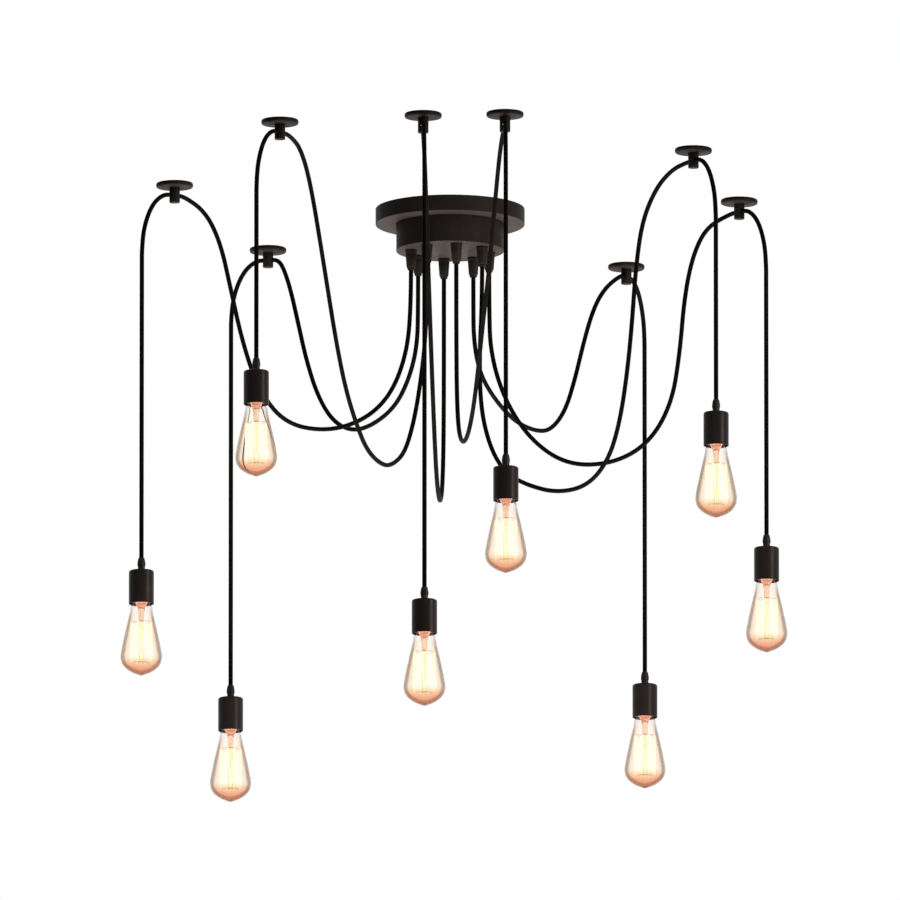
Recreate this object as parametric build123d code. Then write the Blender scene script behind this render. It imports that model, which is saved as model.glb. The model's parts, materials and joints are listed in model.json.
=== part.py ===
from build123d import *
import math
import os
from collections import namedtuple

os.makedirs("parts", exist_ok=True)

# A ceiling light with one canopy and eight lamps. Each lamp's cord leaves a gland under the
# canopy, swags down and up to its own ceiling hook, goes through the hook and hangs straight.
# Millimetres. The ceiling is at z = 0, the canopy's centre line is the Z axis, and +Z is up.

# Fits shared by all pieces
CLEARANCE = 0.3
SCREW_CLEARANCE = 0.2
SPLIT_GAP = 0.65
OVERRUN = 2

# Side counts of the turned pieces: most repeat eight times, so they are cut as prisms
CANOPY_SIDES = 40
HUB_SIDES = 24
LAMP_SIDES = 16
BULB_SIDES = 14
TURNED_SIDES = 12
SMALL_SIDES = 8
HEX_SIDES = 6
CORD_SIDES = 4

# Canopy: a wide pan with a lip turned in at the ceiling, and a narrower tier below it
SHEET = 1.2
PAN_DIAMETER = 234
PAN_DEPTH = 25
PAN_LIP = 8
LIP_NOTCH_MARGIN = 1
TIER_DIAMETER = 169
TIER_DEPTH = 42.5
TIER_FLANGE = 8

# Ceiling bracket inside the canopy
BRACKET_SHEET = 2.5
BRACKET_HUB_DIAMETER = 110
BRACKET_CABLE_HOLE = 30
BRACKET_SCREW_SPACING = 70
BRACKET_SCREW_HOLE = 4.8
BRACKET_ARM_WIDTH = 22
BRACKET_ARM_END_GAP = 1.8
BRACKET_TAB_DEPTH = 16
FRONT_ARM_DIRECTIONS = (210, 330)
BACK_ARM_DIRECTION = 90
TERMINAL_BLOCK_LENGTH = 34
TERMINAL_BLOCK_WIDTH = 20
TERMINAL_BLOCK_HEIGHT = 14
TERMINAL_BLOCK_OFFSET = 34

# Screw through the back of the pan's rim into the bracket's tab
RIM_SCREW_DIAMETER = 4
RIM_SCREW_LENGTH = 7
RIM_SCREW_HEAD_DIAMETER = 8
RIM_SCREW_HEAD_HEIGHT = 2.6
RIM_SCREW_DEPTH = 12

# Cord, and the glands that it leaves by, set on a ring inside the edge of the tier's floor
CORD_DIAMETER = 7
CORD_BORE_ALLOWANCE = 0.1
GLAND_RING_INSET = 22.5
GLAND_FIRST_ANGLE = 9
GLAND_COUNT = 8
GLAND_TOP_DIAMETER = 18.6
GLAND_WAIST_DIAMETER = 13.7
GLAND_TIP_DIAMETER = 10
GLAND_TAPER_LENGTH = 27
GLAND_TIP_LENGTH = 5
GLAND_BORE_DEPTH = 12
GLAND_SPIGOT_DIAMETER = 12
GLAND_SPIGOT_PROUD = 1
WIRE_BORE = 5
NUT_ACROSS_FLATS = 18
NUT_THICKNESS = 5

# Ceiling hooks: a plate, and a stem with a cross-hole that the cord lies in
HOOK_PLATE_DIAMETER = 58
HOOK_PLATE_THICKNESS = 7.2
HOOK_PLATE_EDGE = 1.8
HOOK_STEM_DIAMETER = 16.5
HOOK_STEM_LENGTH = 23.8
HOOK_CROSS_HOLE = 8.4
HOOK_CROSS_HOLE_DEPTH = 19.4
STUD_DIAMETER = 5
STUD_PLATE_HOLE = 5.4
STUD_HOLE_DEPTH = 6.5
SET_SCREW_DIAMETER = 4

# Lamp: cord grip, socket cover, and the lampholder inside the cover
GRIP_TOP_DIAMETER = 10
GRIP_BELLY_DIAMETER = 12.8
GRIP_BASE_DIAMETER = 11.4
GRIP_BELLY_DEPTH = 10
GRIP_LENGTH = 20
GRIP_BORE_DEPTH = 12
GRIP_SPIGOT_DIAMETER = 10
COVER_DIAMETER = 39.2
COVER_HEIGHT = 53
COVER_EDGE = 3
INSULATOR_DIAMETER = 33
INSULATOR_MOUTH_INSET = 3
SHELL_BORE = 26.8
SHELL_WALL = 0.5
SHELL_LENGTH = 22
CONTACT_DIAMETER = 7
CONTACT_THICKNESS = 2

# Bulb: glass envelope, screw cap, glass stem and one zigzag filament
GLASS_WALL = 0.8
BULB_LENGTH = 113.5
BULB_WIDEST_DIAMETER = 65
CAP_DIAMETER = 26.1
CAP_LENGTH = 22
CAP_WALL = 0.5
NECK_LENGTH = 4
STEM_BASE_DIAMETER = 11
STEM_TIP_DIAMETER = 3
STEM_BELOW_MOUTH = 30
CAGE_DIAMETER = 34
CAGE_SHOULDER = 4
CAGE_BOTTOM_DEPTH = 97
CAGE_LEGS = 8
FILAMENT_WIDTH = 1.2

# The glass profile below the cap, as shares of the bulb's length and of its widest radius
GLASS_PROFILE_SHARES = (
    (0.049, 0.538),
    (0.721, 1.000),
    (0.811, 0.954),
    (0.890, 0.754),
    (0.966, 0.345),
    (1.000, 0.092),
)

# One row for each arm: hook distance from the canopy's centre line as a share of the farthest,
# hook direction, direction of the arch over the hook, height of the bulb's tip as a share of
# the lowest, and the gland that the cord leaves by. Directions are degrees round Z from +X.
HOOK_FARTHEST = 766
TIP_LOWEST = 945.1
Arm = namedtuple("Arm", "number hook_share hook_direction arch_direction tip_share gland")
ARMS = (
    Arm(1, 0.9846, 266.83, 272.0, 1.0000, 2),
    Arm(2, 1.0000, 276.37, 271.1, 0.7808, 6),
    Arm(3, 0.9791, 249.40, 233.1, 0.6057, 5),
    Arm(4, 0.7965, 308.36, 305.0, 0.6290, 7),
    Arm(5, 0.6226, 205.45, 212.2, 0.8350, 4),
    Arm(6, 0.5992, 350.70, 313.9, 0.7721, 0),
    Arm(7, 0.5548, 132.49, 166.2, 0.9365, 3),
    Arm(8, 0.6889, 58.16, 61.1, 0.8796, 1),
)

# Points of each swag after it leaves its gland: reach along the straight line, seen from
# above, that joins the gland to the start of the arch at the hook, and height
SWAG_ROUTES = {
    1: (
        (0, -165), (2, -250), (8, -330), (27, -400), (72, -455), (140, -484), (217, -487),
        (289, -466), (354, -424), (414, -374), (472, -320), (529, -263), (587, -204), (643, -143),
        (695, -86), (743, -42),
    ),
    2: (
        (0, -160), (2, -238), (8, -312), (31, -371), (82, -402), (150, -408), (215, -391),
        (273, -359), (327, -315), (382, -267), (440, -222), (498, -168), (552, -109), (602, -59),
        (646, -29),
    ),
    3: (
        (0, -150), (8, -225), (33, -299), (64, -363), (106, -418), (161, -447), (212, -459),
        (287, -450), (343, -415), (395, -367), (439, -301), (476, -232), (512, -164), (550, -95),
        (582, -52), (614, -29), (643, -22),
    ),
    4: (
        (0, -155), (-7, -237), (-4, -325), (21, -392), (60, -438), (119, -467), (197, -491),
        (276, -492), (330, -459), (359, -403), (378, -329), (391, -249), (400, -169), (417, -94),
        (454, -46), (496, -24),
    ),
    5: (
        (0, -160), (8, -235), (36, -303), (83, -347), (149, -371), (223, -365), (270, -314),
        (298, -240), (318, -160), (336, -88), (362, -41),
    ),
    6: (
        (0, -155), (2, -228), (24, -303), (66, -370), (125, -412), (198, -412), (255, -381),
        (291, -319), (304, -236), (311, -152), (324, -86), (346, -40),
    ),
    7: (
        (0, -145), (2, -210), (22, -260), (57, -300), (113, -321), (166, -323), (215, -299),
        (253, -252), (281, -191), (302, -128), (318, -80), (333, -45),
    ),
    8: (
        (0, -140), (1, -201), (20, -251), (67, -285), (126, -309), (187, -314), (234, -305),
        (278, -267), (308, -210), (333, -150), (362, -91), (397, -50),
    ),
}

# Points of the arch over every hook, from the middle of the cross-hole: reach and height
ARCH_ROUTE = (
    (-18, 0), (0, 0), (18, 0), (34, -11), (46, -29), (55, -54), (59, -78), (60, -100),
)

# A cord's runs bend straight from one to the next where its route turns by less, in degrees
FLAT_TURN = 8

# Places worked out from the sizes above
PAN_RADIUS = PAN_DIAMETER / 2
TIER_RADIUS = TIER_DIAMETER / 2
GLAND_RING_RADIUS = TIER_RADIUS - GLAND_RING_INSET
PAN_FLOOR_TOP = SHEET - PAN_DEPTH
TIER_BOTTOM = -PAN_DEPTH - TIER_DEPTH
TIER_FLOOR_TOP = TIER_BOTTOM + SHEET
GLAND_TIP = TIER_BOTTOM - GLAND_TAPER_LENGTH - GLAND_TIP_LENGTH
CORD_BORE_RADIUS = CORD_DIAMETER / 2 + CORD_BORE_ALLOWANCE
ARCH_REACH = ARCH_ROUTE[-1][0]
PIVOT_HEIGHT = ARCH_ROUTE[-1][1] - HOOK_CROSS_HOLE_DEPTH
LAMP_HEIGHT = GRIP_LENGTH + COVER_HEIGHT + BULB_LENGTH
COVER_MOUTH = -GRIP_LENGTH - COVER_HEIGHT
COVER_CEILING = -GRIP_LENGTH - SHEET
INSULATOR_MOUTH = COVER_MOUTH + INSULATOR_MOUTH_INSET
CAP_TOP = INSULATOR_MOUTH + CAP_LENGTH
BULB_CONTACT_TOP = CAP_TOP + CONTACT_THICKNESS
HOLDER_CONTACT_BOTTOM = BULB_CONTACT_TOP + CLEARANCE
CAVITY_TOP = HOLDER_CONTACT_BOTTOM + CONTACT_THICKNESS


def prism(sides, radius, bottom, top):
    """An upright prism whose corners lie on the given radius."""
    return Pos(0, 0, bottom) * extrude(RegularPolygon(radius, sides), top - bottom)


def clear_hole(sides, radius, bottom, top):
    """A cutting prism whose flat sides clear a round piece of the given radius."""
    section = RegularPolygon(radius, sides, major_radius=False)
    return Pos(0, 0, bottom) * extrude(section, top - bottom)


def flats(radius, sides):
    """How far the flat sides of a polygon lie from its centre, from its corner radius."""
    return radius * math.cos(math.pi / sides)


def turned(sides, rings):
    """A closed form with a polygon at each (height, radius) and flat faces between them."""
    loops = []
    for height, radius in rings:
        corners = [polar(radius, 360 * corner / sides) for corner in range(sides)]
        loops.append([Vector(x, y, height) for x, y in corners])
    faces = [Face(Wire.make_polygon(loops[0])), Face(Wire.make_polygon(loops[-1]))]
    for upper, lower in zip(loops, loops[1:]):
        for near, far in zip(range(sides), [*range(1, sides), 0]):
            quad = [upper[near], upper[far], lower[far], lower[near]]
            faces.append(Face(Wire.make_polygon(quad)))
    return Part() + Solid(Shell(faces))


def cup_wall(sides, outer, inner, bottom, top):
    """A ring wall between two radii and two heights."""
    return prism(sides, outer, bottom, top) - prism(sides, inner, bottom - OVERRUN, top + OVERRUN)


def save(node, *pieces):
    """Write one sub-part, as one solid or a group of separate solids, to its own file."""
    solids = [solid for piece in pieces for solid in piece.solids()]
    export_step(Compound(solids), f"parts/{node}.step")


def polar(radius, direction):
    """The x and y of a place at a distance and direction from the canopy's centre line."""
    angle = math.radians(direction)
    return radius * math.cos(angle), radius * math.sin(angle)


def gland_place(index):
    """The x and y of one gland."""
    return polar(GLAND_RING_RADIUS, GLAND_FIRST_ANGLE + index * 360 / GLAND_COUNT)


def hook_place(arm):
    """The x and y of an arm's ceiling hook."""
    return polar(arm.hook_share * HOOK_FARTHEST, arm.hook_direction)


def lamp_place(arm):
    """The x and y of an arm's lamp, which hangs where the arch over the hook comes down."""
    hook_x, hook_y = hook_place(arm)
    arch_x, arch_y = polar(ARCH_REACH, arm.arch_direction)
    return hook_x + arch_x, hook_y + arch_y


def lamp_top(arm):
    """The height of the top of an arm's cord grip."""
    return LAMP_HEIGHT - arm.tip_share * TIP_LOWEST


def tab_outer_face():
    """How far out the flat tab of the back arm may reach inside the pan."""
    pan_inner = flats(PAN_RADIUS - SHEET, CANOPY_SIDES)
    return math.sqrt(pan_inner**2 - (BRACKET_ARM_WIDTH / 2) ** 2) - CLEARANCE


def canopy_pan():
    """The wide upper cup, open where the tier goes through and notched for the back arm."""
    inner = PAN_RADIUS - SHEET
    lip = PAN_RADIUS - PAN_LIP
    hole = TIER_RADIUS + CLEARANCE
    pan = prism(CANOPY_SIDES, PAN_RADIUS, -PAN_DEPTH, 0)
    pan -= prism(CANOPY_SIDES, inner, PAN_FLOOR_TOP, -SHEET)
    pan -= prism(CANOPY_SIDES, lip, -SHEET, OVERRUN)
    pan -= prism(CANOPY_SIDES, hole, -PAN_DEPTH - OVERRUN, PAN_FLOOR_TOP)
    notch_reach = tab_outer_face() - lip + OVERRUN
    notch = Box(notch_reach, BRACKET_ARM_WIDTH + 2 * LIP_NOTCH_MARGIN, 2 * SHEET)
    notch = Pos(tab_outer_face() - notch_reach / 2, 0, 0) * notch
    screw_hole = side_hole(RIM_SCREW_DIAMETER / 2 + SCREW_CLEARANCE, PAN_RADIUS)
    return pan - Rot(0, 0, BACK_ARM_DIRECTION) * (notch + screw_hole)


def side_hole(radius, reach):
    """A cutting prism along X for the rim screw, through a wall at the given reach."""
    hole = Rot(0, 90, 0) * clear_hole(SMALL_SIDES, radius, reach - PAN_LIP, reach + PAN_LIP)
    return Pos(0, 0, -RIM_SCREW_DEPTH) * hole


def canopy_tier():
    """The lower cup, hung by its flange on the pan's floor, with a hole for each gland."""
    flange_top = PAN_FLOOR_TOP + SHEET
    tier = prism(CANOPY_SIDES, TIER_RADIUS, TIER_BOTTOM, flange_top)
    tier += prism(CANOPY_SIDES, TIER_RADIUS + TIER_FLANGE, PAN_FLOOR_TOP, flange_top)
    tier -= prism(CANOPY_SIDES, TIER_RADIUS - SHEET, TIER_FLOOR_TOP, flange_top + OVERRUN)
    hole = clear_hole(
        SMALL_SIDES,
        GLAND_SPIGOT_DIAMETER / 2 + SCREW_CLEARANCE,
        TIER_BOTTOM - OVERRUN,
        TIER_FLOOR_TOP + OVERRUN,
    )
    return tier - [Pos(*gland_place(index)) * hole for index in range(GLAND_COUNT)]


def arm_strip(end):
    """One straight arm of the bracket, pressed down by the thickness of the pan's lip."""
    start = BRACKET_CABLE_HOLE / 2
    strip = Box(end - start, BRACKET_ARM_WIDTH, BRACKET_SHEET)
    return Pos((start + end) / 2, 0, -SHEET - BRACKET_SHEET / 2) * strip


def ceiling_bracket():
    """A hub screwed to the ceiling, two arms under the pan's lip and one with a tapped tab."""
    front = arm_strip(PAN_RADIUS - SHEET - BRACKET_ARM_END_GAP)
    back_reach = tab_outer_face()
    tab_height = BRACKET_SHEET + BRACKET_TAB_DEPTH
    tab = Box(BRACKET_SHEET, BRACKET_ARM_WIDTH, tab_height)
    tab = Pos(back_reach - BRACKET_SHEET / 2, 0, -SHEET - tab_height / 2) * tab
    back = arm_strip(back_reach) + tab
    back -= side_hole(RIM_SCREW_DIAMETER / 2 + SCREW_CLEARANCE, back_reach)
    bracket = prism(HUB_SIDES, BRACKET_HUB_DIAMETER / 2, -BRACKET_SHEET, 0)
    bracket += [Rot(0, 0, direction) * front for direction in FRONT_ARM_DIRECTIONS]
    bracket += Rot(0, 0, BACK_ARM_DIRECTION) * back
    depth = 2 * (BRACKET_SHEET + SHEET + OVERRUN)
    bracket -= clear_hole(TURNED_SIDES, BRACKET_CABLE_HOLE / 2, -depth, depth)
    for side in (-1, 1):
        hole = Cylinder(BRACKET_SCREW_HOLE / 2, depth)
        bracket -= Pos(side * BRACKET_SCREW_SPACING / 2, 0, 0) * hole
    return bracket


def rim_screw():
    """The pan-head screw that goes through the rim from outside into the bracket's tab."""
    head = prism(SMALL_SIDES, RIM_SCREW_HEAD_DIAMETER / 2, 0, RIM_SCREW_HEAD_HEIGHT)
    shank = prism(SMALL_SIDES, RIM_SCREW_DIAMETER / 2, -RIM_SCREW_LENGTH, 0)
    place = Rot(0, 0, BACK_ARM_DIRECTION) * Pos(PAN_RADIUS, 0, -RIM_SCREW_DEPTH) * Rot(0, 90, 0)
    return place * (head + shank)


def terminal_block():
    """The block that joins the ceiling wires to the cords, under the bracket's hub."""
    block = Box(TERMINAL_BLOCK_LENGTH, TERMINAL_BLOCK_WIDTH, TERMINAL_BLOCK_HEIGHT)
    return Pos(0, -TERMINAL_BLOCK_OFFSET, -BRACKET_SHEET - TERMINAL_BLOCK_HEIGHT / 2) * block


def cord_gland():
    """A tapered gland whose spigot goes up through the tier's floor; its cord meets a shoulder."""
    waist = TIER_BOTTOM - GLAND_TAPER_LENGTH
    spigot_top = TIER_FLOOR_TOP + NUT_THICKNESS + GLAND_SPIGOT_PROUD
    shoulder = GLAND_TIP + GLAND_BORE_DEPTH
    rings = (
        (TIER_BOTTOM, GLAND_TOP_DIAMETER / 2),
        (waist, GLAND_WAIST_DIAMETER / 2),
        (GLAND_TIP, GLAND_TIP_DIAMETER / 2),
    )
    gland = turned(TURNED_SIDES, rings)
    gland += prism(SMALL_SIDES, GLAND_SPIGOT_DIAMETER / 2, TIER_BOTTOM, spigot_top)
    gland -= clear_hole(SMALL_SIDES, CORD_BORE_RADIUS, GLAND_TIP - OVERRUN, shoulder)
    return gland - clear_hole(HEX_SIDES, WIRE_BORE / 2, shoulder - OVERRUN, spigot_top + OVERRUN)


def gland_nut():
    """The hexagonal nut that clamps a gland to the tier's floor."""
    nut = clear_hole(HEX_SIDES, NUT_ACROSS_FLATS / 2, TIER_FLOOR_TOP, TIER_FLOOR_TOP + NUT_THICKNESS)
    return nut - clear_hole(
        SMALL_SIDES,
        GLAND_SPIGOT_DIAMETER / 2 + SCREW_CLEARANCE,
        TIER_FLOOR_TOP - OVERRUN,
        TIER_FLOOR_TOP + NUT_THICKNESS + OVERRUN,
    )


def hook_plate():
    """A hook's round ceiling plate, its lower edge chamfered, with a hole for the stud."""
    radius = HOOK_PLATE_DIAMETER / 2
    rings = (
        (0, radius),
        (HOOK_PLATE_EDGE - HOOK_PLATE_THICKNESS, radius),
        (-HOOK_PLATE_THICKNESS, radius - HOOK_PLATE_EDGE),
    )
    plate = turned(LAMP_SIDES, rings)
    below = -HOOK_PLATE_THICKNESS - OVERRUN
    return plate - clear_hole(SMALL_SIDES, STUD_PLATE_HOLE / 2, below, OVERRUN)


def hook_stem():
    """A hook's stem, with its cross-hole along X, the stud's hole and the set screw's hole."""
    bottom = -HOOK_PLATE_THICKNESS - HOOK_STEM_LENGTH
    stem = prism(TURNED_SIDES, HOOK_STEM_DIAMETER / 2, bottom, -HOOK_PLATE_THICKNESS)
    cross_hole = Rot(0, 90, 0) * clear_hole(
        SMALL_SIDES, HOOK_CROSS_HOLE / 2, -HOOK_STEM_DIAMETER, HOOK_STEM_DIAMETER
    )
    stem -= Pos(0, 0, -HOOK_CROSS_HOLE_DEPTH) * cross_hole
    stem -= Pos(0, 0, -HOOK_PLATE_THICKNESS - STUD_HOLE_DEPTH) * Cylinder(
        STUD_DIAMETER / 2, STUD_HOLE_DEPTH + OVERRUN, align=(Align.CENTER, Align.CENTER, Align.MIN)
    )
    screw_radius = SET_SCREW_DIAMETER / 2 + SCREW_CLEARANCE
    return stem - clear_hole(HEX_SIDES, screw_radius, bottom - OVERRUN, -HOOK_CROSS_HOLE_DEPTH)


def hook_set_screw():
    """The grub screw in a hook's stem, just short of the cord that it can clamp."""
    top = -HOOK_CROSS_HOLE_DEPTH - CORD_DIAMETER / 2 - CLEARANCE
    return prism(HEX_SIDES, SET_SCREW_DIAMETER / 2, -HOOK_PLATE_THICKNESS - HOOK_STEM_LENGTH, top)


def cord_grip():
    """The waisted grip on top of a lamp; the cord ends on the floor of its bore."""
    rings = (
        (0, GRIP_TOP_DIAMETER / 2),
        (-GRIP_BELLY_DEPTH, GRIP_BELLY_DIAMETER / 2),
        (-GRIP_LENGTH, GRIP_BASE_DIAMETER / 2),
    )
    grip = turned(TURNED_SIDES, rings)
    grip += prism(SMALL_SIDES, GRIP_SPIGOT_DIAMETER / 2, COVER_CEILING, -GRIP_LENGTH)
    return grip - clear_hole(SMALL_SIDES, CORD_BORE_RADIUS, -GRIP_BORE_DEPTH, OVERRUN)


def socket_cover():
    """The plain tube over a lampholder, closed at the top round the grip's spigot."""
    outer = COVER_DIAMETER / 2
    inner = outer - SHEET
    edge = COVER_EDGE
    outside = ((-GRIP_LENGTH, outer - edge), (-GRIP_LENGTH - edge, outer), (COVER_MOUTH, outer))
    inside = (
        (COVER_CEILING, inner - edge),
        (COVER_CEILING - edge, inner),
        (COVER_MOUTH - OVERRUN, inner),
    )
    hole_radius = GRIP_SPIGOT_DIAMETER / 2 + SCREW_CLEARANCE
    cover = turned(LAMP_SIDES, outside) - turned(LAMP_SIDES, inside)
    return cover - clear_hole(SMALL_SIDES, hole_radius, COVER_CEILING - OVERRUN, OVERRUN)


def shell_bore():
    """The corner radius of the screw shell's bore, whose flats clear the bulb's cap."""
    return SHELL_BORE / 2 / math.cos(math.pi / TURNED_SIDES)


def lamp_insulator():
    """The insulating cup that holds a lamp's screw shell and centre contact."""
    outer = INSULATOR_DIAMETER / 2
    rings = (
        (COVER_CEILING, outer - COVER_EDGE),
        (COVER_CEILING - COVER_EDGE, outer),
        (INSULATOR_MOUTH, outer),
    )
    cavity = shell_bore() + SHELL_WALL + CLEARANCE
    cup = turned(TURNED_SIDES, rings)
    return cup - prism(TURNED_SIDES, cavity, INSULATOR_MOUTH - OVERRUN, CAVITY_TOP)


def screw_shell():
    """The metal sleeve that takes the bulb's cap."""
    bore = shell_bore()
    bottom = CAVITY_TOP - SHELL_LENGTH
    return cup_wall(TURNED_SIDES, bore + SHELL_WALL, bore, bottom, CAVITY_TOP)


def holder_contact():
    """The lampholder's centre contact, just clear of the bulb's."""
    return prism(HEX_SIDES, CONTACT_DIAMETER / 2, HOLDER_CONTACT_BOTTOM, CAVITY_TOP)


def glass_rings(wall):
    """The (height, radius) rings of the glass, pulled in by a wall for the inner face."""
    cap_bore = flats(CAP_DIAMETER / 2 - CAP_WALL, TURNED_SIDES)
    neck = cap_bore - SCREW_CLEARANCE - wall
    rings = [(INSULATOR_MOUTH + NECK_LENGTH, neck), (INSULATOR_MOUTH, neck)]
    for depth_share, radius_share in GLASS_PROFILE_SHARES:
        depth = depth_share * (BULB_LENGTH - wall)
        radius = radius_share * (BULB_WIDEST_DIAMETER / 2 - wall)
        rings.append((COVER_MOUTH - depth, radius))
    return rings


def bulb_glass():
    """The pear-shaped envelope, open where its neck sits in the cap."""
    inside = glass_rings(GLASS_WALL)
    (neck_top, neck_radius), *rest = inside
    inside = [(neck_top + OVERRUN, neck_radius), *rest]
    return turned(BULB_SIDES, glass_rings(0)) - turned(BULB_SIDES, inside)


def bulb_cap():
    """The screw cap, a cup whose rim takes the glass neck."""
    outer = CAP_DIAMETER / 2
    cap = prism(TURNED_SIDES, outer, INSULATOR_MOUTH, CAP_TOP)
    cavity_top = CAP_TOP - CAP_WALL - CONTACT_THICKNESS
    return cap - prism(TURNED_SIDES, outer - CAP_WALL, INSULATOR_MOUTH - OVERRUN, cavity_top)


def bulb_contact():
    """The contact button on top of the cap."""
    return prism(HEX_SIDES, CONTACT_DIAMETER / 2, CAP_TOP, BULB_CONTACT_TOP)


def bulb_stem():
    """The pointed glass stem that carries the filament, held in the cap."""
    rings = (
        (CAP_TOP - CAP_WALL - CONTACT_THICKNESS, STEM_BASE_DIAMETER / 2),
        (COVER_MOUTH, STEM_BASE_DIAMETER / 2),
        (COVER_MOUTH - STEM_BELOW_MOUTH, STEM_TIP_DIAMETER / 2),
    )
    return turned(HEX_SIDES, rings)


def filament():
    """One wire that runs down and up round the cage from the tip of the stem."""
    top = COVER_MOUTH - STEM_BELOW_MOUTH
    bottom = COVER_MOUTH - CAGE_BOTTOM_DEPTH
    points = [(0, 0, top)]
    for leg in range(CAGE_LEGS):
        x, y = polar(CAGE_DIAMETER / 2, leg * 360 / CAGE_LEGS)
        points.append((x, y, bottom if leg % 2 else top - CAGE_SHOULDER))
    path = Polyline(*points)
    section = Plane(path @ 0, z_dir=path % 0) * Rectangle(FILAMENT_WIDTH, FILAMENT_WIDTH)
    return sweep(section, path, transition=Transition.RIGHT)


def smooth_route(points):
    """Points on the smooth curve that a route pulls along, with one more at each real bend."""
    places = [Vector(*point) for point in points]
    joins = [(near + far) / 2 for near, far in zip(places, places[1:])]
    line = [places[0], joins[0]]
    for start, corner, end in zip(joins, places[1:], joins[1:]):
        if (corner - start).get_angle(end - corner) > FLAT_TURN:
            line.append((start + corner * 2 + end) / 4)
        line.append(end)
    return [*line, places[-1]]


def swag_points(arm):
    """The whole route of an arm's cord from its gland to where it hangs straight."""
    gland_x, gland_y = gland_place(arm.gland)
    hook_x, hook_y = hook_place(arm)
    arch = Vector(*polar(1, arm.arch_direction), 0)
    entry = Vector(hook_x, hook_y, 0) + ARCH_ROUTE[0][0] * arch
    line = (entry - Vector(gland_x, gland_y, 0)).normalized()
    points = [(gland_x, gland_y, GLAND_TIP + GLAND_BORE_DEPTH)]
    for reach, height in SWAG_ROUTES[arm.number]:
        points.append((gland_x + reach * line.X, gland_y + reach * line.Y, height))
    for reach, height in ARCH_ROUTE:
        level = height - HOOK_CROSS_HOLE_DEPTH
        points.append((hook_x + reach * arch.X, hook_y + reach * arch.Y, level))
    return points


def swag_cord(arm):
    """The cord from the gland over the hook, as short straight runs mitred to each other."""
    path = Polyline(*smooth_route(swag_points(arm)))
    section = Plane(path @ 0, z_dir=path % 0) * RegularPolygon(CORD_DIAMETER / 2, CORD_SIDES)
    cord = sweep(section, path, transition=Transition.RIGHT)
    runs = len(path.edges())
    share = cord.volume / (section.area * path.length)
    print(f"swag_cord_{arm.number}: length {path.length:.0f}, {runs} runs, volume share {share:.4f}")
    return cord


def drop_cord(arm):
    """The straight cord from the arch down to the floor of the grip's bore."""
    bottom = lamp_top(arm) - GRIP_BORE_DEPTH
    return prism(CORD_SIDES, CORD_DIAMETER / 2, bottom, PIVOT_HEIGHT - SPLIT_GAP)


save("canopy_pan", canopy_pan())
save("canopy_tier", canopy_tier())
save("ceiling_bracket", ceiling_bracket())
save("canopy_fixing_screw", rim_screw())
save("terminal_block", terminal_block())

gland_places = [Pos(*gland_place(index)) for index in range(GLAND_COUNT)]
save("cord_glands", *(place * cord_gland() for place in gland_places))
save("gland_nuts", *(place * gland_nut() for place in gland_places))

hook_places = [Pos(*hook_place(arm)) * Rot(0, 0, arm.arch_direction) for arm in ARMS]
save("hook_plates", *(place * hook_plate() for place in hook_places))
save("hook_stems", *(place * hook_stem() for place in hook_places))
save("hook_set_screws", *(place * hook_set_screw() for place in hook_places))

for arm in ARMS:
    lamp = Pos(*lamp_place(arm), lamp_top(arm))
    save(f"swag_cord_{arm.number}", swag_cord(arm))
    save(f"drop_cord_{arm.number}", Pos(*lamp_place(arm)) * drop_cord(arm))
    save(f"socket_cover_{arm.number}", lamp * socket_cover())
    save(
        f"lampholder_{arm.number}",
        lamp * cord_grip(),
        lamp * lamp_insulator(),
        lamp * screw_shell(),
        lamp * holder_contact(),
    )
    save(f"bulb_glass_{arm.number}", lamp * bulb_glass())
    save(
        f"bulb_core_{arm.number}",
        lamp * bulb_cap(),
        lamp * bulb_contact(),
        lamp * bulb_stem(),
        lamp * filament(),
    )
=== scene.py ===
import json
import math

import bmesh
import bpy
from mathutils import Matrix, Vector


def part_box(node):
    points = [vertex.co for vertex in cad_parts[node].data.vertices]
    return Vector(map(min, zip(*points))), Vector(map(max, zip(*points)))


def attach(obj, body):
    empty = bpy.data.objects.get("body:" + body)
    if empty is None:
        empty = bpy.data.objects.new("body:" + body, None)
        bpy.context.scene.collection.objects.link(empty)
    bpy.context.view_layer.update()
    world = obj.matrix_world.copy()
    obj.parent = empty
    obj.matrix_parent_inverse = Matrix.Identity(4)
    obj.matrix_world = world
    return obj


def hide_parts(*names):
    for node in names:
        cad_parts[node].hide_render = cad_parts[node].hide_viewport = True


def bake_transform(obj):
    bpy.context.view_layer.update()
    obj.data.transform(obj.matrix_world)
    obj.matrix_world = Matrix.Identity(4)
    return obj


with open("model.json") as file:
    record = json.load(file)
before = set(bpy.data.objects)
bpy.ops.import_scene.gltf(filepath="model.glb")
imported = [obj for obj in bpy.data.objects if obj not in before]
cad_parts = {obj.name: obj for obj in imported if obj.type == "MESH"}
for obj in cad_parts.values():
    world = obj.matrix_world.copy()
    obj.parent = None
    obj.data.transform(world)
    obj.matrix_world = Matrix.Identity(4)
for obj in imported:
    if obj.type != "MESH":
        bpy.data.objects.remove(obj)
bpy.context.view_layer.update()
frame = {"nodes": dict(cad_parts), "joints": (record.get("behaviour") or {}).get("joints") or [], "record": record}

# Metres, in the model's frame: the ceiling is at z = 0, +Z is up and the camera looks along +Y.
# Routes and outlines are lists of points in millimetres.
MM = 0.001
ARMS = range(1, 9)

# Canopy
SHEET = 1.2 * MM
PAN_RADIUS = 117 * MM
PAN_DEPTH = 25 * MM
PAN_LIP = 8 * MM
TIER_RADIUS = 84.5 * MM
TIER_DEPTH = 42.5 * MM
TIER_FLANGE = 8 * MM
TIER_BOTTOM = -PAN_DEPTH - TIER_DEPTH
FIT_GAP = 0.3 * MM

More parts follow.
